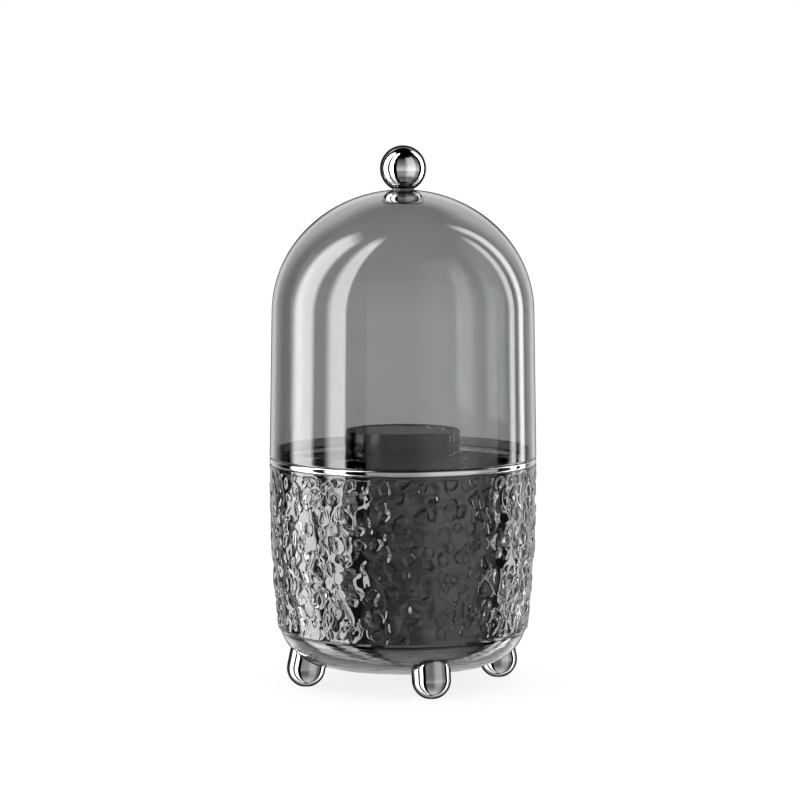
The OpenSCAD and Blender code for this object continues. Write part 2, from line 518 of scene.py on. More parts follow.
class Profile:
    """Half outline of a turned piece, drawn point by point as (radius, height)."""

    def __init__(self, step: float = 1.2) -> None:
        """Starts an empty outline whose straight runs are split at the given step."""
        self.step = step
        self.points: list[Point] = []

    def to(self, radius: float, height: float) -> "Profile":
        """Goes straight to a point, splitting the run so that gloss stays even.

        Args:
            radius: distance from the axis.
            height: distance above the table.

        Returns:
            The outline itself.
        """
        if self.points:
            last = self.points[-1]
            run = math.hypot(radius - last[0], height - last[1])
            if run < LEAST_RUN:
                return self
            pieces = max(1, math.ceil(run / self.step))
            self.points += [(last[0] + (radius - last[0]) * i / pieces,
                             last[1] + (height - last[1]) * i / pieces)
                            for i in range(1, pieces)]
        self.points.append((radius, height))
        return self

    def arc(self, radius: float, height: float, size: float, start: float, end: float,
            steps: int = 10) -> "Profile":
        """Follows an arc.

        Args:
            radius: distance of its centre from the axis.
            height: height of its centre.
            size: its own radius.
            start: angle at which it starts, in degrees.
            end: angle at which it ends, in degrees.
            steps: straight steps along it.

        Returns:
            The outline itself.
        """
        for i in range(steps + 1):
            angle = math.radians(start + (end - start) * i / steps)
            self._add(radius + size * math.cos(angle), height + size * math.sin(angle))
        return self

    def follow(self, curve: Callable[[float], Point], start: float, end: float,
               steps: int) -> "Profile":
        """Follows a curve.

        Args:
            curve: gives the point at a parameter.
            start: first parameter.
            end: last parameter.
            steps: straight steps along it.

        Returns:
            The outline itself.
        """
        for i in range(steps + 1):
            self._add(*curve(start + (end - start) * i / steps))
        return self

    def _add(self, radius: float, height: float) -> None:
        """Adds a point unless it repeats the last one, and splits the run to a far one.

        Args:
            radius: distance from the axis.
            height: distance above the table.
        """
        run = math.dist(self.points[-1], (radius, height)) if self.points else self.step
        if run < LEAST_STEP:
            return
        if run < 2 * self.step:
            self.points.append((radius, height))
        else:
            self.to(radius, height)


def turn(name: str, points: Sequence[Point], segments: int,
         carve: Callable[[np.ndarray, np.ndarray, np.ndarray], np.ndarray] | None = None
         ) -> bpy.types.Object:
    """Turns a closed half outline round the Z axis into a smooth, closed, outward-facing mesh.

    Args:
        name: the new piece's name.
        points: the outline in millimetres; a first or last point on the axis becomes a pole.
        segments: steps round the axis.
        carve: optional; takes ring radii, ring heights and the angles as a grid, and gives the
            carved radii.

    Returns:
        The new piece.
    """
    radii, heights = np.array(points).T
    angles = np.linspace(0, math.tau, segments, endpoint=False)
    ring_r = np.repeat(radii[:, None], segments, axis=1)
    ring_z = np.repeat(heights[:, None], segments, axis=1)
    if carve is not None:
        ring_r = carve(ring_r, ring_z, np.broadcast_to(angles, ring_r.shape))
    grid = np.stack([ring_r * np.cos(angles), ring_r * np.sin(angles), ring_z], axis=-1)
    poles = [i for i in (0, len(points) - 1) if radii[i] < LEAST_RUN]
    vertices: list[Sequence[float]] = []
    first: list[int] = []
    for i in range(len(points)):
        first.append(len(vertices))
        vertices += [tuple(grid[i, 0])] if i in poles else grid[i].tolist()
    faces: list[tuple[int, ...]] = []
    for i in range(len(points) - (1 if poles else 0)):
        k = (i + 1) % len(points)
        for j in range(segments):
            n = (j + 1) % segments
            if i in poles:
                faces.append((first[i], first[k] + n, first[k] + j))
            elif k in poles:
                faces.append((first[i] + j, first[i] + n, first[k]))
            else:
                faces.append((first[i] + j, first[i] + n, first[k] + n, first[k] + j))
    piece = mesh_piece(name, np.array(vertices), faces)
    mark_sharp_rings(piece.data, points, first, segments, poles)
    face_outwards(piece)
    return piece


def mark_sharp_rings(mesh: bpy.types.Mesh, points: Sequence[Point], first: Sequence[int],
                     segments: int, poles: Sequence[int]) -> None:
    """Marks the rings at which an outline turns sharply, so that shading breaks there.

    Args:
        mesh: the turned mesh.
        points: its outline.
        first: index of each ring's first vertex.
        segments: vertices in each ring.
        poles: outline points that are single vertices.
    """
    count = len(points)
    ring_of = np.full(len(mesh.vertices), -1)
    for i in range(count):
        if i in poles:
            continue
        before, here, after = points[i - 1], points[i], points[(i + 1) % count]
        way_in = math.atan2(here[1] - before[1], here[0] - before[0])
        way_out = math.atan2(after[1] - here[1], after[0] - here[0])
        turned = abs((way_out - way_in + math.pi) % math.tau - math.pi)
        if turned > SHARP_TURN:
            ring_of[first[i]:first[i] + segments] = i
    ends = np.empty(len(mesh.edges) * 2, np.int32)
    mesh.edges.foreach_get("vertices", ends)
    rings = ring_of[ends.reshape(-1, 2)]
    sharp = (rings[:, 0] >= 0) & (rings[:, 0] == rings[:, 1])
    mesh.attributes.new("sharp_edge", "BOOLEAN", "EDGE").data.foreach_set("value", sharp)


def mesh_piece(name: str, vertices: np.ndarray, faces: Sequence[Sequence[int]]
               ) -> bpy.types.Object:
    """Makes a smooth-shaded mesh object from vertices in millimetres.

    Args:
        name: the new piece's name.
        vertices: one row of x, y, z per vertex.
        faces: vertex indices of each face.

    Returns:
        The new piece.
    """
    mesh = bpy.data.meshes.new(name)
    mesh.from_pydata((vertices * MM).tolist(), [], faces)
    mesh.polygons.foreach_set("use_smooth", np.ones(len(mesh.polygons), bool))
    mesh.update()
    piece = bpy.data.objects.new(name, mesh)
    bpy.context.scene.collection.objects.link(piece)
    return piece


def face_outwards(piece: bpy.types.Object) -> None:
    """Turns the mesh's faces to look outwards if its signed volume is negative.

    Args:
        piece: a closed piece, changed in place.
    """
    mesh = piece.data
    mesh.calc_loop_triangles()
    corners = np.empty(len(mesh.loop_triangles) * 3, np.int32)
    mesh.loop_triangles.foreach_get("vertices", corners)
    places = np.empty(len(mesh.vertices) * 3)
    mesh.vertices.foreach_get("co", places)
    a, b, c = (places.reshape(-1, 3)[corners.reshape(-1, 3)[:, i]] for i in range(3))
    if np.einsum("ij,ij->i", a, np.cross(b, c)).sum() < 0:
        mesh.flip_normals()


def dress(piece: bpy.types.Object, material: bpy.types.Material) -> None:
    """Gives a piece one material."""
    piece.data.materials.clear()
    piece.data.materials.append(material)


def seat(piece: bpy.types.Object, material: bpy.types.Material, body: Body,
         node: str) -> None:
    """Dresses a piece, puts it on its body and lets it stand for a node of the frame.

    Args:
        piece: the piece's mesh.
        material: its material.
        body: the body that it moves with.
        node: the frame's node that it replaces.
    """
    dress(piece, material)
    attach(piece, body.value)
    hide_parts(node)
    LOG.info("%s rides on %s: %d faces", piece.name, body.value, len(piece.data.polygons))


# --------------------------------------------------------------------------- relief


class Noise:
    """Seeded gradient noise in space, evaluated on whole arrays."""

    cells: int = 256
    gain: float = 1.6

    def __init__(self, seed: int) -> None:
        """Draws the lattice's order and gradients from the seed.

        Args:
            seed: starts the draw.
        """
        rng = np.random.default_rng(seed)
        self.order = rng.permutation(self.cells)
        gradients = rng.normal(size=(self.cells, 3))
        self.gradients = gradients / np.linalg.norm(gradients, axis=1, keepdims=True)

    def __call__(self, places: np.ndarray) -> np.ndarray:
        """Noise at many places.

        Args:
            places: array whose last axis holds x, y, z.

        Returns:
            Values from about -1 to 1, in the shape of the other axes.
        """
        cell = np.floor(places).astype(int)
        inside = places - cell
        share = inside ** 3 * (inside * (inside * 6 - 15) + 10)
        total = np.zeros(places.shape[:-1])
        for corner in np.ndindex(2, 2, 2):
            offset = np.array(corner)
            pick = np.zeros(places.shape[:-1], int)
            for axis in range(3):
                pick = self.order[(pick + cell[..., axis] + offset[axis]) % self.cells]
            weight = np.prod(np.where(offset, share, 1 - share), axis=-1)
            total += weight * np.einsum("...i,...i->...", self.gradients[pick], inside - offset)
        return total * self.gain


def ease(value: np.ndarray, low: float, high: float) -> np.ndarray:
    """Soft step from 0 to 1 as the value goes from low to high."""
    share = np.clip((value - low) / (high - low), 0, 1)
    return share * share * (3 - 2 * share)


@dataclass(frozen=True)
class Dents:
    """Main dents of the relief, each the bite of a sphere whose centre lies outside the wall."""

    curve: "WallCurve"
    low: float = 24.4
    high: float = 97.4
    relief_height: float = 1.0
    columns: int = 24
    rows: int = 4
    radius: float = 21.0
    depth: float = 0.75
    rounding: float = 0.5
    swing: float = 0.14
    lift: float = 0.1
    deepening: float = 0.25

    def spheres(self) -> list[tuple[float, float, float]]:
        """Places the spheres in staggered rows, each a little off its place.

        Returns:
            Angle, height and distance from the axis of every sphere's centre.
        """
        pitch = (self.high - self.low) / self.rows
        centres = []
        for row, column in np.ndindex(self.rows, self.columns):
            swing, lift, deeper = (
                math.sin(math.radians(by_column * column + by_row * row))
                for by_column, by_row in ((97, 61), (71, 43), (53, 31)))
            angle = math.tau / self.columns * (column + row / 2 + self.swing * swing)
            height = self.low + pitch * (row + 0.5 + self.lift * lift)
            surface = self.curve.outer(height) + self.relief_height
            depth = self.depth * (1 + self.deepening * deeper)
            centres.append((angle, height, surface + self.radius - depth))
        return centres

    def bite(self, radii: np.ndarray, heights: np.ndarray, angles: np.ndarray) -> np.ndarray:
        """Cuts the dents into rings.

        Args:
            radii: ring radii.
            heights: ring heights.
            angles: angles round the axis.

        Returns:
            The radii, smaller wherever a sphere bites.
        """
        left = radii.copy()
        for angle, height, distance in self.spheres():
            across = distance * np.sin(angles - angle)
            inside = self.radius ** 2 - (heights - height) ** 2 - across ** 2
            ahead = distance * np.cos(angles - angle)
            hit = (inside > 0) & (ahead > 0)
            cut = ahead[hit] - np.sqrt(inside[hit])
            # a soft minimum rounds the dents' rims over
            gap = left[hit] - cut
            left[hit] = (left[hit] + cut - np.sqrt(gap ** 2 + self.rounding ** 2)) / 2
        return left


@dataclass(frozen=True)
class Pebbles:
    """One layer of separate bumps and pits, scattered on a loose grid over the wall."""

    pitch: float
    least: float
    most: float
    rise: float
    sink: float
    edge: float
    longest: float
    raised: float = 0.45
    faintest: float = 0.6
    row_pitch: float = 0.95
    loose: float = 0.42
    lean: float = 0.7
    reach: float = 1.5

    def lay(self, relief: np.ndarray, across: np.ndarray, heights: np.ndarray,
            band: Range, girth: float, rng: np.random.Generator) -> None:
        """Adds the layer to a relief.

        Args:
            relief: height of the relief on a grid of rings and angles, changed in place.
            across: warped distance round the wall of every place on the grid.
            heights: warped height of every place on the grid.
            band: lower and upper edge of the band that carries the layer.
            girth: distance once round the wall.
            rng: draws the places and sizes.
        """
        low, tall = band[0], band[1] - band[0]
        columns, rows = int(girth / self.pitch), int(tall / (self.row_pitch * self.pitch))
        for row, column in np.ndindex(rows, columns):
            shift = rng.uniform(-self.loose, self.loose, 2)
            half = rng.uniform(self.least, self.most)
            long = half * rng.uniform(1.0, self.longest)
            turned = rng.normal(0, self.lean)
            size = rng.uniform(self.faintest, 1.0)
            size *= self.rise if rng.random() < self.raised else -self.sink
            place = (column + 0.5 * (row % 2) + shift[0]) * girth / columns
            level = low + (row + 0.5 + shift[1]) * tall / rows
            patch = self._patch(heights, place, level, long + self.reach, girth)
            east = (across[patch] - place + girth / 2) % girth - girth / 2
            north = heights[patch] - level
            cos, sin = math.cos(turned), math.sin(turned)
            inside = 1 - ((east * cos + north * sin) / half) ** 2 \
                - ((north * cos - east * sin) / long) ** 2
            relief[patch] += size * ease(inside, 0.0, self.edge)

    def _patch(self, heights: np.ndarray, place: float, level: float, span: float,
               girth: float) -> tuple[np.ndarray, ...]:
        """The part of the grid that one pebble can touch.

        Args:
            heights: warped height of every place on the grid.
            place: distance round the wall of the pebble's middle.
            level: height of its middle.
            span: how far it can reach from there.
            girth: distance once round the wall.

        Returns:
            Indices of the rings and of the angles.
        """
        around = heights.shape[1]
        step = girth / around
        rings = np.flatnonzero(np.abs(heights[:, 0] - level) < span + self.reach)
        first, last = math.floor((place - span) / step), math.ceil((place + span) / step)
        return np.ix_(rings, np.arange(first, last + 1) % around)


@dataclass
class GlacierRelief:
    """Melted-ice relief, carved inwards from the cup's widest surface.

    Large shallow dents come first, and layers of pebbles and pits lie over them.
    """

    low: float
    high: float
    dents: Dents
    ground: float = 0.45
    deepest: float = 1.5
    fade: float = 1.2
    warp: float = 0.9
    warp_size: float = 4.5
    warp_shift: float = 5.1
    swell: float = 0.10
    swell_size: float = 13.0
    girth_radius: float = 60.0
    seed: int = 7
    layers: tuple[Pebbles, ...] = (
        Pebbles(12.2, 3.6, 6.0, 0.28, 0.36, edge=0.5, longest=1.5),
        Pebbles(6.9, 2.0, 3.5, 0.66, 0.80, edge=0.9, longest=1.7),
    )
    noises: list[Noise] = field(init=False)

    def __post_init__(self) -> None:
        """Draws the noises that bend the pebbles and lift and sink the ground."""
        self.noises = [Noise(self.seed + i) for i in range(3)]

    def carve(self, radii: np.ndarray, heights: np.ndarray, angles: np.ndarray) -> np.ndarray:
        """Carves the relief into the rings between its lower and upper edge.

        Args:
            radii: ring radii.
            heights: ring heights.
            angles: angles round the axis.

        Returns:
            The carved radii.
        """
        carved = radii.copy()
        # only the outer wall is carved: its rings come before the rim on the outline
        rim = int(np.argmax(heights[:, 0]))
        band = np.zeros(radii.shape[0], bool)
        band[:rim] = (heights[:rim, 0] > self.low) & (heights[:rim, 0] < self.high)
        r, z, a = radii[band], heights[band], angles[band]
        weight = ease(np.minimum(z - self.low, self.high - z), 0, self.fade)
        ground = r + weight * (self.dents.bite(r, z, a) - r)
        carved[band] = ground - weight * self.depth(r, z, a)
        return carved

    def depth(self, radii: np.ndarray, heights: np.ndarray, angles: np.ndarray) -> np.ndarray:
        """Lays the finer relief.

        Args:
            radii: ring radii.
            heights: ring heights.
            angles: angles round the axis.

        Returns:
            Its depth below the widest surface.
        """
        places = np.stack([radii * np.cos(angles), radii * np.sin(angles), heights], axis=-1)
        sideways, upwards, swell = self.noises
        across = angles * self.girth_radius + self.warp * sideways(places / self.warp_size)
        raised = heights + self.warp * upwards(places / self.warp_size + self.warp_shift)
        relief = np.zeros(radii.shape)
        rng = np.random.default_rng(self.seed)
        for layer in self.layers:
            layer.lay(relief, across, raised, (self.low, self.high),
                      math.tau * self.girth_radius, rng)
        ground = self.ground - relief - self.swell * swell(places / self.swell_size)
        return np.clip(ground, 0, self.deepest)


# --------------------------------------------------------------------------- sub-assemblies


@dataclass
class WallCurve:
    """The curve that the cup, its liner and the divider all share, taken at the core."""

    core_radius: float = 60.2
    floor: float = 9.5
    corner: float = 20.5
    belly: float = 85.0
    lean: float = 7.0
    corner_steps: int = 40
    inside_step: float = 3.0
    corner_ease: float = 0.6

    @property
    def corner_height(self) -> float:
        """Height of the corner's centre."""
        return self.floor + self.corner

    @property
    def blend(self) -> float:
        """Height at which the corner meets the side."""
        return self.corner_height - self.corner * math.sin(math.radians(self.lean))

    @property
    def corner_radius(self) -> float:
        """Distance of the corner's centre from the axis."""
        return self.side(self.blend) - self.corner * math.cos(math.radians(self.lean))

    def side(self, height: float) -> float:
        """Radius of the side at a height, bowed out towards the belly."""
        bow = math.tan(math.radians(self.lean)) / (2 * (self.belly - self.blend))
        return self.core_radius - bow * max(self.belly - height, 0) ** 2

    def outer(self, height: float) -> float:
        """Follows the corner and the side.

        Args:
            height: height above the table.

        Returns:
            The core's radius there.
        """
        if height >= self.blend:
            return self.side(height)
        drop = self.corner_height - height
        return self.corner_radius + math.sqrt(max(self.corner ** 2 - drop ** 2, 0))

    def bowl(self, profile: Profile, depth: float, end: float) -> None:
        """Draws the floor and the corner.

        Args:
            profile: outline to draw on.
            depth: how far inside the core curve it runs.
            end: angle at which the corner stops, in degrees.
        """
        profile.to(0, self.floor + depth)
        profile.to(self.corner_radius, self.floor + depth)
        profile.arc(self.corner_radius, self.corner_height, self.corner - depth, -90, end,
                    self.corner_steps)

    def inside(self, depth: float, top: float, steps: int = 70) -> list[Point]:
        """The whole inner line of a shell, from the middle of its floor to its top.

        Args:
            depth: how far inside the core curve it runs.
            top: height at which it ends.
            steps: straight steps up the side.

        Returns:
            Its points, from the floor up.
        """
        profile = Profile(self.inside_step)
        self.bowl(profile, depth, -self.lean)
        profile.follow(lambda z: (self.side(z) - depth, z), self.blend + self.corner_ease, top,
                       steps)
        return profile.points


@dataclass
class Cup:
    """Relief-walled cup, the liner that hangs in it and the four feet under it."""

    clear: ClearPlastic
    lining: ClearPlastic
    chrome: Chrome
    curve: WallCurve = field(default_factory=WallCurve)
    relief_height: float = 1.0
    rim: float = 100.9
    rim_radius: float = 61.0
    rim_bulge: float = 0.2
    rim_tuck: float = 0.8
    relief_low: float = 24.4
    relief_step: float = 0.4
    rim_margin: float = 1.5
    step_foot: float = 0.35
    chamfer: float = 1.4
    wall: float = 2.0
    liner_gap: float = 0.4
    liner_wall: float = 2.0
    flange: float = 2.8
    flange_round: float = 0.9
    collar: float = 4.4
    collar_radius: float = 58.6
    edge: float = 0.4
    segments: int = 1152
    liner_segments: int = 256

    def build(self) -> None:
        """Builds the cup, the liner and the feet."""
        parts = [(self.cup_shell(), self.clear, "outer_cup"),
                 (self.liner_shell(), self.lining, "inner_liner")]
        for piece, plastic, node in parts:
            seat(piece, plastic.build(), Body.CUP, node)
        # the feet's chrome is a darker copy of the knob's, painted shade
        plating, foot = self.chrome.build(), Foot(self.curve)
        for side, heading in {"right": 0, "back": 90, "left": 180, "front": 270}.items():
            bullet = foot.turned(f"foot_{side}_bullet", math.radians(heading))
            seat(bullet, plating, Body.CUP, f"foot_{side}")

    def relief_surface(self, height: float) -> Point:
        """The relief's widest surface at a height, held in under the flange."""
        widest = self.rim_radius + self.rim_bulge
        return min(self.curve.outer(height) + self.relief_height, widest), height

    def cup_shell(self) -> bpy.types.Object:
        """The outer cup with its carved band, as one closed shell.

        Returns:
            The new piece.
        """
        curve, low, top = self.curve, self.relief_low, self.rim - self.rim_margin
        start = curve.outer(low)
        drop = math.degrees(math.asin((curve.corner_height - low) / curve.corner))
        profile = Profile()
        curve.bowl(profile, 0, -drop)
        # a small bevel and a chamfer lead from the bowl out to the relief
        profile.to(start - self.edge, low + 0.02)
        profile.to(start + self.step_foot, low + self.step_foot)
        profile.to(start + self.relief_height, low + self.chamfer)
        profile.follow(self.relief_surface, low + self.chamfer + 0.2, top,
                       round((top - low) / self.relief_step))
        profile.to(self.rim_radius, top + self.rim_tuck)
        profile.arc(self.rim_radius - self.edge, self.rim - self.edge, self.edge, 0, 90, 5)
        profile.to(curve.side(self.rim) - self.wall, self.rim)
        for point in reversed(curve.inside(self.wall, self.rim - 0.6, 30)):
            profile.to(*point)
        # the relief fades in just above the chamfer and out just over the last ring
        relief = GlacierRelief(low + self.chamfer + 0.1, top + 0.5, Dents(curve))
        return turn("outer_cup_shell", profile.points, self.segments, relief.carve)

    def liner_shell(self) -> bpy.types.Object:
        """The smooth liner with its flange and collar.

        Returns:
            The new piece.
        """
        curve, flange_edge = self.curve, self.rim_radius - self.flange_round
        outer_depth = self.wall + self.liner_gap
        inner_depth = outer_depth + self.liner_wall
        dome_foot = self.rim + self.flange
        top = dome_foot + self.collar - self.edge
        profile = Profile()
        for point in curve.inside(outer_depth, self.rim - 0.5):
            profile.to(*point)
        profile.to(curve.side(self.rim) - outer_depth, self.rim)
        profile.to(flange_edge, self.rim)
        profile.arc(flange_edge, self.rim + self.flange_round, self.flange_round, -90, 0, 8)
        profile.arc(flange_edge, dome_foot - self.flange_round, self.flange_round, 0, 90, 8)
        profile.to(self.collar_radius, dome_foot)
        inner = curve.core_radius - inner_depth
        profile.arc(self.collar_radius - self.edge, top, self.edge, 0, 90, 6)
        profile.arc(inner + self.edge, top, self.edge, 90, 180, 6)
        for point in reversed(curve.inside(inner_depth, self.rim)):
            profile.to(*point)
        return turn("inner_liner_shell", profile.points, self.liner_segments)


@dataclass
class Foot:
    """Bullet-shaped foot that leans outwards and is cut to the bowl that it carries."""

    curve: WallCurve
    radius: float = 8.8
    circle: float = 46.0
    splay: float = 12.0
    flat: float = 3.0
    rim_round: float = 0.5
    bowl_gap: float = 0.01
    longest: float = 24.0
    tip_steps: int = 24
    shank_start: float = 0.12
    shank_steps: int = 9
    halvings: int = 40
    segments: int = 96

    @property
    def centre(self) -> float:
        """Height of the tip's centre, with the tip's flat on the table."""
        return math.sqrt(self.radius ** 2 - self.flat ** 2)

    @property
    def axis(self) -> np.ndarray:
        """Direction of the foot's leaning axis, upwards."""
        lean = math.radians(self.splay)
        return np.array([-math.sin(lean), 0, math.cos(lean)])

    def turned(self, name: str, heading: float) -> bpy.types.Object:
        """Makes one foot.

        Args:
            name: the new piece's name.
            heading: direction in which it stands from the axis, in radians.

        Returns:
            The closed foot.
        """
        rings = [self._heading(ring, heading) for ring in self._tip() + self._top()]
        foot = mesh_piece(name, *self._skin(np.array(rings)))
        face_outwards(foot)
        return foot

    def _ring(self, size: float, along: float = 0.0) -> np.ndarray:
        """A circle round the foot's leaning axis.

        Args:
            size: its radius.
            along: distance from the tip's centre, upwards.

        Returns:
            Its points, for a foot that stands along +X.
        """
        lean = math.radians(self.splay)
        side = np.array([math.cos(lean), 0, math.sin(lean)])
        turns = np.linspace(0, math.tau, self.segments, endpoint=False)[:, None]
        middle = np.array([self.circle, 0, self.centre]) + self.axis * along
        return middle + size * (np.cos(turns) * side + np.sin(turns) * np.array([0, 1, 0]))

    def _tip(self) -> list[np.ndarray]:
        """Draws the round tip, flattened where it stands on the table.

        Returns:
            Its rings, from the flat up.
        """
        rings = []
        for i in range(1, self.tip_steps + 1):
            angle = math.radians(-90 + 90 * i / self.tip_steps)
            ring = self._ring(self.radius * math.cos(angle), self.radius * math.sin(angle))
            ring[:, 2] = np.maximum(ring[:, 2], 0)
            rings.append(ring)
        return rings

    def _top(self) -> list[np.ndarray]:
        """Draws the shank, its rounded top edge and the cap that fits the bowl.

        Returns:
            Their rings, from the tip to the middle of the cap.
        """
        start = self._ring(self.radius)
        shank = self._reach(start) - self.rim_round
        rings = [start + self.axis * (shank * share)[:, None]
                 for share in np.linspace(self.shank_start, 1, self.shank_steps)]
        for angle in (30, 60, 90):
            turn_in = math.radians(angle)
            ring = self._ring(self.radius - self.rim_round * (1 - math.cos(turn_in)))
            level = np.minimum(self._reach(ring) - self.bowl_gap,
                               shank + self.rim_round * math.sin(turn_in))
            rings.append(ring + self.axis * level[:, None])
        for share in (0.85, 0.6, 0.3, 0.02):
            ring = self._ring((self.radius - self.rim_round) * share)
            rings.append(ring + self.axis * (self._reach(ring) - self.bowl_gap)[:, None])
        return rings

    def _reach(self, starts: np.ndarray) -> np.ndarray:
        """Finds the bowl's surface along the foot's axis.

        Args:
            starts: points round the foot.

        Returns:
            Distance from each of them to the surface.
        """
        low, high = np.zeros(len(starts)), np.full(len(starts), self.longest)
        for _ in range(self.halvings):
            middle = (low + high) / 2
            places = starts + self.axis * middle[:, None]
            radii = np.hypot(places[:, 0], places[:, 1])
            inside = np.array([z > self.curve.floor and r < self.curve.outer(z)
                               for r, z in zip(radii, places[:, 2])])
            high, low = np.where(inside, middle, high), np.where(inside, low, middle)
        return low

    @staticmethod
    def _heading(ring: np.ndarray, heading: float) -> np.ndarray:
        """Turns a ring from +X to the foot's own direction."""
        cos, sin = math.cos(heading), math.sin(heading)
        return ring @ np.array([[cos, sin, 0], [-sin, cos, 0], [0, 0, 1]])

    def _skin(self, rings: np.ndarray) -> tuple[np.ndarray, list[tuple[int, ...]]]:
        """Joins rings into a closed skin.

        Args:
            rings: rings of points, from the tip to the middle of the cap.

        Returns:
            Vertices and faces.
        """
        count, size = rings.shape[:2]
        vertices = [*rings.reshape(-1, 3), rings[0].mean(axis=0), rings[-1].mean(axis=0)]
        faces: list[tuple[int, ...]] = []
        for j in range(size):
            n = (j + 1) % size
            for i in range(count - 1):
                faces.append((i * size + j, i * size + n, (i + 1) * size + n, (i + 1) * size + j))
            faces.append((count * size, n, j))
            faces.append((count * size + 1, (count - 1) * size + j, (count - 1) * size + n))
        return np.array(vertices), faces


@dataclass
class Insert:
    """Dark centre tube and the divider that holds it."""

    dark: ClearPlastic
    tube_radius: float = 26.1
    tube_wall: float = 2.4
    tube_foot: float = 15.5
    tube_rim: float = 116.6
    tube_floor: float = 2.0
    floor_round: float = 1.0
    edge: float = 0.4
    segments: int = 192

    def build(self) -> None:
        """Builds the tube and dresses the divider."""
        material = self.dark.build()
        seat(self.tube(), material, Body.INSERT, "centre_tube")
        dress(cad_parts["divider"], material)

    def tube(self) -> bpy.types.Object:
        """The open centre tube with its rounded rim.

        Returns:
            The new piece.
        """
        bore, half = self.tube_radius - self.tube_wall, self.tube_wall / 2
        floor, foot_edge = self.tube_foot + self.tube_floor, self.tube_radius - self.edge
        profile = Profile()
        profile.to(0, self.tube_foot).to(foot_edge, self.tube_foot)
        profile.arc(foot_edge, self.tube_foot + self.edge, self.edge, -90, 0, 4)
        profile.arc(bore + half, self.tube_rim - half, half, 0, 180, 14)
        profile.arc(bore - self.floor_round, floor + self.floor_round, self.floor_round,
                    0, -90, 6)
        profile.to(0, floor)
        return turn("centre_tube_shell", profile.points, self.segments)


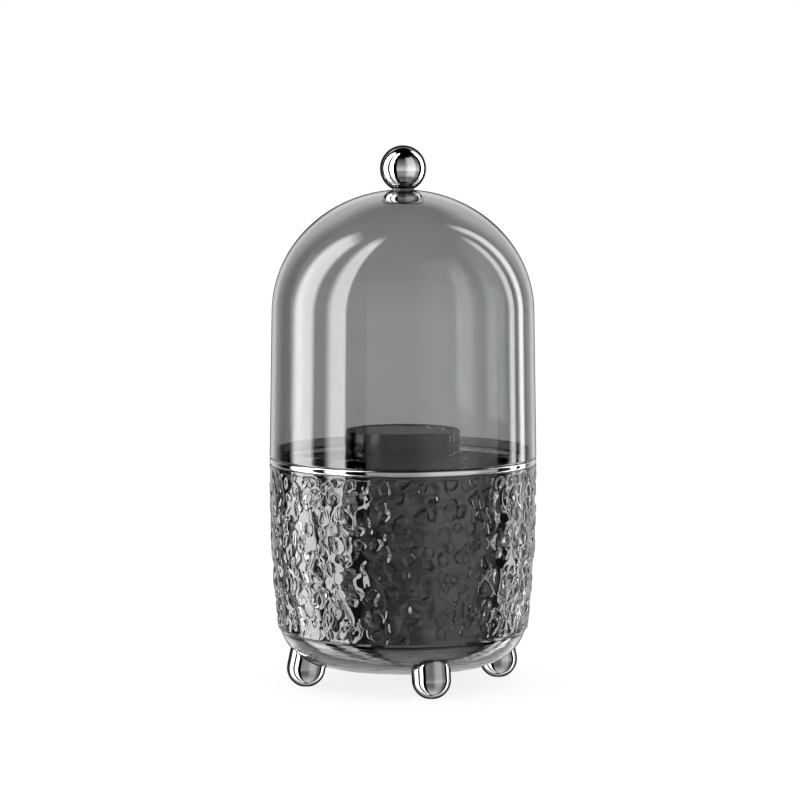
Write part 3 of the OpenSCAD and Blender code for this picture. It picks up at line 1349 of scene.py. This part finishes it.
@dataclass
class Dome:
    """Lift-off dome with its ball knob and what holds the knob on."""

    clear: ClearPlastic
    chrome: Chrome
    silicone: Silicone
    steel: Chrome
    foot: float = 103.7
    foot_radius: float = 61.0
    wall: float = 1.9
    draft: float = 1.1
    side: float = 66.3
    crown: float = 56.0
    crown_thickness: float = 2.1
    seat_radius: float = 6.0
    hole: float = 2.1
    clamp_radius: float = 9.6
    clamp_height: float = 4.4
    gasket: float = 0.6
    ball_radius: float = 10.5
    ball_rise: float = 9.2
    neck_radius: float = 5.2
    neck_edge: float = 0.15
    neck_flare: float = 0.25
    screw_radius: float = 2.0
    screw_reach: float = 9.0
    head_radius: float = 3.9
    head_height: float = 2.4
    head_depth: float = 0.3
    head_bevel: float = 0.2
    segments: int = 320
    ball_segments: int = 160
    clamp_segments: int = 128
    gasket_segments: int = 96

    @property
    def shoulder_radius(self) -> float:
        """Outer radius at which the crown begins."""
        return self.foot_radius - self.draft

    @property
    def shoulder(self) -> float:
        """Height at which the crown begins."""
        return self.foot + self.side

    @property
    def seat_angle(self) -> float:
        """Angle on the crown at which its flat seat begins."""
        return math.acos(self.seat_radius / self.shoulder_radius)

    @property
    def seat_height(self) -> float:
        """Height of the flat seat on the crown."""
        return self.shoulder + self.crown * math.sin(self.seat_angle)

    @property
    def clamp_top(self) -> float:
        """Height of the crown's inner seat."""
        return self.seat_height - self.crown_thickness

    def build(self) -> None:
        """Builds the dome, the knob, its gasket, clamp and screw."""
        plating = self.chrome.build()
        parts = [
            (self.shell(), self.clear.build(), self.clear.slot, "dome_cover"),
            (self.ball(), plating, self.chrome.slot, "knob_ball"),
            (self.clamp(), plating, self.chrome.slot, "knob_clamp"),
            (self.gasket_ring(), self.silicone.build(), self.silicone.slot, "knob_gasket"),
        ]
        for piece, material, slot, node in parts:
            seat(piece, material, Body.DOME, node)
        dress(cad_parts["knob_screw"], self.steel.build())

    def shell(self) -> bpy.types.Object:
        """The clear dome.

        Returns:
            The new piece.
        """
        half = self.wall / 2
        lip, lip_height = self.foot_radius - half, self.foot + half
        inner_shoulder = self.shoulder_radius - self.wall
        inner_seat = math.acos((self.clamp_radius - self.clamp_height / 4) / inner_shoulder)
        inner_crown = (self.clamp_top - self.shoulder) / math.sin(inner_seat)
        profile = Profile()
        profile.arc(lip, lip_height, half, -90, 0, 8)
        profile.to(self.shoulder_radius, self.shoulder)
        profile.follow(lambda a: (self.shoulder_radius * math.cos(a),
                                  self.shoulder + self.crown * math.sin(a)),
                       0, self.seat_angle, 90)
        profile.to(self.hole, self.seat_height).to(self.hole, self.clamp_top)
        profile.to(inner_shoulder * math.cos(inner_seat), self.clamp_top)
        profile.follow(lambda a: (inner_shoulder * math.cos(a),
                                  self.shoulder + inner_crown * math.sin(a)),
                       inner_seat, 0, 90)
        profile.to(self.foot_radius - self.wall, lip_height)
        profile.arc(lip, lip_height, half, 180, 255, 7)
        return turn("dome_shell", profile.points, self.segments)

    def ball(self) -> bpy.types.Object:
        """The ball with its short neck and the blind hole for the screw.

        Returns:
            The new piece.
        """
        foot, neck = self.seat_height + self.gasket, self.neck_radius - self.neck_edge
        meet = math.acos((self.neck_radius + self.neck_flare) / self.ball_radius)
        profile = Profile(0.6)
        profile.to(self.screw_radius, foot).to(neck, foot)
        profile.arc(neck, foot + self.neck_edge, self.neck_edge, -90, 0, 3)
        profile.arc(0, foot + self.ball_rise, self.ball_radius, -math.degrees(meet), 90, 60)
        hole = [(0, foot + self.screw_reach), (self.screw_radius, foot + self.screw_reach)]
        return turn("knob_ball_turned", hole + profile.points, self.ball_segments)

    def clamp(self) -> bpy.types.Object:
        """The bun-shaped flange inside the crown, with the recess for the screw's head.

        Returns:
            The new piece.
        """
        bottom, half = self.clamp_top - self.clamp_height, self.clamp_height / 2
        ledge = bottom + self.head_depth + self.head_height
        profile = Profile(0.5)
        profile.to(self.hole, self.clamp_top).to(self.hole, ledge).to(self.head_radius, ledge)
        profile.to(self.head_radius, bottom + self.head_bevel)
        profile.to(self.head_radius + self.head_bevel, bottom)
        profile.arc(self.clamp_radius - half, bottom + half, half, -90, 90, 24)
        profile.to(self.hole + 0.4, self.clamp_top)
        return turn("knob_clamp_turned", profile.points, self.clamp_segments)

    def gasket_ring(self) -> bpy.types.Object:
        """The clear washer under the knob's neck.

        Returns:
            The new piece.
        """
        low, radius, half = self.seat_height, self.neck_radius - 0.2, self.gasket / 2
        profile = Profile(0.3)
        profile.to(self.hole, low).to(radius - half, low)
        profile.arc(radius - half, low + half, half, -90, 90, 8)
        profile.to(self.hole, low + self.gasket)
        return turn("knob_gasket_ring", profile.points, self.gasket_segments)


# --------------------------------------------------------------------------- studio


@dataclass(frozen=True)
class Softbox:
    """A tall light that gloss and metal mirror, placed by its angles from the object."""

    left: float
    right: float
    strength: float
    soft_left: float = 2.0
    soft_right: float = 2.0
    top: float = 52.0
    bottom: float = -84.0
    soft_top: float = 6.0
    soft_bottom: float = 10.0

    def glow(self, azimuth: Socket, elevation: Socket, spread: Socket) -> Socket:
        """Light that comes from the box in each direction.

        Args:
            azimuth: angle from the camera's side, in degrees, positive to the right.
            elevation: angle above the table, in degrees.
            spread: how the light dims towards the box's foot.

        Returns:
            Its brightness.
        """
        left, right = self.soft_left / 2, self.soft_right / 2
        top, bottom = self.soft_top / 2, self.soft_bottom / 2
        across = azimuth.rise(self.left - left, self.left + left) \
            * azimuth.rise(self.right + right, self.right - right)
        along = elevation.rise(self.top + top, self.top - top) \
            * elevation.rise(self.bottom - bottom, self.bottom + bottom)
        return self.strength * spread * across * along


@dataclass
class Studio:
    """Floor, surroundings and camera, whose distances are in metres."""

    distance: float = 1.4555
    height: float = 0.2572
    pitch: float = math.radians(5.0)
    shift: float = 0.00137
    lens: float = 143.77
    sensor: float = 36.0
    sight: float = 20.0
    floor_half: float = 4.0
    floor_grey: float = 0.25
    floor_glow: float = 0.82
    daylight: float = 0.95
    card_shade: float = 0.05
    behind: float = 0.8
    softboxes: tuple[Softbox, ...] = (
        Softbox(-110, -85, 6.8, soft_left=10.0, soft_right=6.0, top=60, soft_top=14),
        Softbox(-68, -51, 7.2, soft_left=10.0, soft_right=2.0, top=72, soft_top=14),
        Softbox(20, 68, 0.5, soft_left=28.0, soft_right=14.0, soft_top=14),
        Softbox(107, 114, 4.8, soft_left=5.0, top=50, soft_top=14),
        Softbox(122, 130, 4.8, soft_left=4.0, soft_right=4.0, top=56, soft_top=14),
    )

    def build(self) -> None:
        """Builds the floor, the surroundings and the camera."""
        self.camera()
        self.floor()
        self.surroundings()

    def camera(self) -> None:
        """Places the camera at the viewing angle, a little above the dome."""
        data = bpy.data.cameras.new("camera")
        data.lens, data.sensor_width = self.lens, self.sensor
        data.clip_end = self.sight
        camera = bpy.data.objects.new("camera", data)
        sin, cos = math.sin(VIEW_AZIMUTH), math.cos(VIEW_AZIMUTH)
        camera.location = (-self.distance * sin - self.shift * cos,
                           -self.distance * cos + self.shift * sin, self.height)
        camera.rotation_euler = (math.pi / 2 - self.pitch, 0, -VIEW_AZIMUTH)
        bpy.context.scene.collection.objects.link(camera)
        bpy.context.scene.camera = camera

    def floor(self) -> None:
        """Lays the pale floor, which keeps the object's shadow."""
        half = self.floor_half / MM  # mesh_piece takes millimetres
        corners = [(-half, -half, 0), (half, -half, 0), (half, half, 0), (-half, half, 0)]
        floor = mesh_piece("floor", np.array(corners), [(0, 1, 2, 3)])
        material, tree = new_material("pale_floor")
        paper = tree.value("ShaderNodeTexNoise", None, {"Scale": 60.0, "Detail": 2.0})
        matt = tree.node("ShaderNodeBsdfDiffuse", None, {
            "Color": (self.floor_grey,) * 3 + (1,), "Normal": tree.bump(paper, 0.1 * MM, 0.1)})
        glow = tree.node("ShaderNodeEmission", None,
                         {"Color": (1, 1, 1, 1), "Strength": self.floor_glow})
        both = tree.node("ShaderNodeAddShader", None, {0: matt.outputs[0], 1: glow.outputs[0]})
        # gloss and metal look past the floor, at the studio
        rays = tree.node("ShaderNodeLightPath")
        turned = Socket(tree, rays.outputs["Glossy Depth"]).rise(0.0, 1.0)
        gone = tree.node("ShaderNodeBsdfTransparent")
        seen = tree.node("ShaderNodeMixShader", None,
                         {0: turned, 1: both.outputs[0], 2: gone.outputs[0]})
        tree.node("ShaderNodeOutputMaterial", None, {"Surface": seen.outputs[0]})
        dress(floor, material)

    def surroundings(self) -> None:
        """Lights the object: white behind it, and softboxes that gloss mirrors."""
        world = bpy.data.worlds.new("studio")
        world.use_nodes = True
        bpy.context.scene.world = world
        tree = Tree(world.node_tree)
        rays = tree.node("ShaderNodeLightPath")
        direct, matt, depth = (Socket(tree, rays.outputs[name]) for name in
                               ("Is Camera Ray", "Is Diffuse Ray", "Glossy Depth"))
        x, y, z = tree.axes(tree.value("ShaderNodeTexCoord", output="Generated"))
        sin, cos = math.sin(VIEW_AZIMUTH), math.cos(VIEW_AZIMUTH)
        right, towards = x * cos - y * sin, -1.0 * (x * sin + y * cos)
        azimuth = math.degrees(1) * tree.value("ShaderNodeMath", {"operation": "ARCTAN2"},
                                               {0: right, 1: towards})
        elevation = math.degrees(1) * tree.value("ShaderNodeMath", {"operation": "ARCSINE"},
                                                 {0: z})
        # a path that gloss or metal has turned sees the studio, and any other one through the
        # plastic sees the card
        card = self.card_shade + (1 - self.card_shade) * abs(elevation).rise(26, 12)
        turned = depth.rise(0.0, 1.0)
        beyond = turned * self.mirrored(azimuth, elevation) + (1 - turned) * card
        level = direct + (1 - direct) * (matt * self.daylight + (1 - matt) * beyond)
        shade = tree.node("ShaderNodeBackground", None,
                          {"Color": (1, 1, 1, 1), "Strength": level})
        tree.node("ShaderNodeOutputWorld", None, {"Surface": shade.outputs[0]})

    def mirrored(self, azimuth: Socket, elevation: Socket) -> Socket:
        """What gloss and metal mirror in each direction.

        Args:
            azimuth: angle from the camera's side, in degrees, positive to the right.
            elevation: angle above the table, in degrees.

        Returns:
            The brightness mirrored.
        """
        rear = abs(azimuth)
        table = 0.6 * rear.rise(100, 130) * elevation.rise(-84, -76) * elevation.rise(-14, -24)
        level = self._front(azimuth, elevation) + self._backdrop(rear, elevation) + table
        spread = 0.3 + 0.7 * elevation.rise(-58, -16)
        for box in self.softboxes:
            level = level + box.glow(azimuth, elevation, spread)
        return level

    @staticmethod
    def _front(azimuth: Socket, elevation: Socket) -> Socket:
        """The room before the object, from left of the camera round to the right side.

        Args:
            azimuth: angle from the camera's side, in degrees, positive to the right.
            elevation: angle above the table, in degrees.

        Returns:
            Its brightness, which falls upwards, steps down under the horizon and grows again
            towards the feet.
        """
        falling = 0.38 * elevation.rise(25, -10) + 0.2 * elevation.rise(58, 15)
        horizon = 0.45 + 0.55 * elevation.rise(-16, -6)
        level = falling * horizon + 0.7 * elevation.rise(-30, -80)
        return azimuth.rise(-33, -30) * azimuth.rise(90, 88) * level

    def _backdrop(self, rear: Socket, elevation: Socket) -> Socket:
        """The bright backdrop behind the object, with a dark flag across its middle.

        Args:
            rear: angle from the camera's side to either hand, in degrees.
            elevation: angle above the table, in degrees.

        Returns:
            Its brightness.
        """
        flag = rear.rise(163, 170) * elevation.rise(-24, -18) * elevation.rise(14, 8)
        growing = 1.1 + 0.4 * elevation.rise(8, 36)
        return self.behind * rear.rise(126, 152) * elevation.rise(-30, -20) * growing \
            * elevation.rise(58, 36) * (1 - flag)


def main() -> None:
    """Builds the organizer and its studio."""
    logging.basicConfig(level=logging.INFO, format="%(message)s")
    scene = bpy.context.scene
    scene.view_settings.view_transform = "Standard"
    scene.cycles.max_bounces = scene.cycles.transmission_bounces = CLEAR_BOUNCES
    scene.cycles.glossy_bounces = GLOSS_BOUNCES
    clear = ClearPlastic("smoky_clear_plastic", Slot.SMOKY, (0.455, 0.465, 0.455), slant=0.3)
    # the cup's bowl carries a painted shade line under its step
    cup_clear = ClearPlastic("smoky_clear_cup_plastic", Slot.SMOKY, (0.215, 0.22, 0.215),
                             index=1.66, haze=0.03,
                             bowl=Bowl(Cup.relief_low, (0.52, 0.53, 0.52), painted_shade_height=0.9))
    lining = ClearPlastic("smoky_clear_liner_plastic", Slot.SMOKY, (0.33, 0.335, 0.33),
                          index=1.58, bowl=Bowl(22.0, (0.50, 0.51, 0.50)),
                          bead=Bead(Cup.rim, Cup.rim + Cup.flange, 59.7))
    dark = ClearPlastic("dark_smoky_plastic", Slot.DARK_SMOKY, (0.25, 0.25, 0.252))
    chrome = Chrome("bright_chrome", Slot.CHROME)
    # painted shade: the feet get a darker copy of the chrome, standing in for the dimmer light
    # that they mirror
    painted_shade_foot_chrome = Chrome("painted_shade_foot_chrome", Slot.CHROME, (0.45, 0.455, 0.46))
    steel = Chrome("zinc_steel", Slot.SCREW, (0.62, 0.63, 0.64), base_roughness=0.2,
                   wipe_roughness=0.2)
    Studio().build()
    Cup(cup_clear, lining, painted_shade_foot_chrome).build()
    Insert(dark).build()
    Dome(clear, chrome, Silicone("clear_silicone", Slot.GASKET), steel).build()


if __name__ == "__main__":
    main()
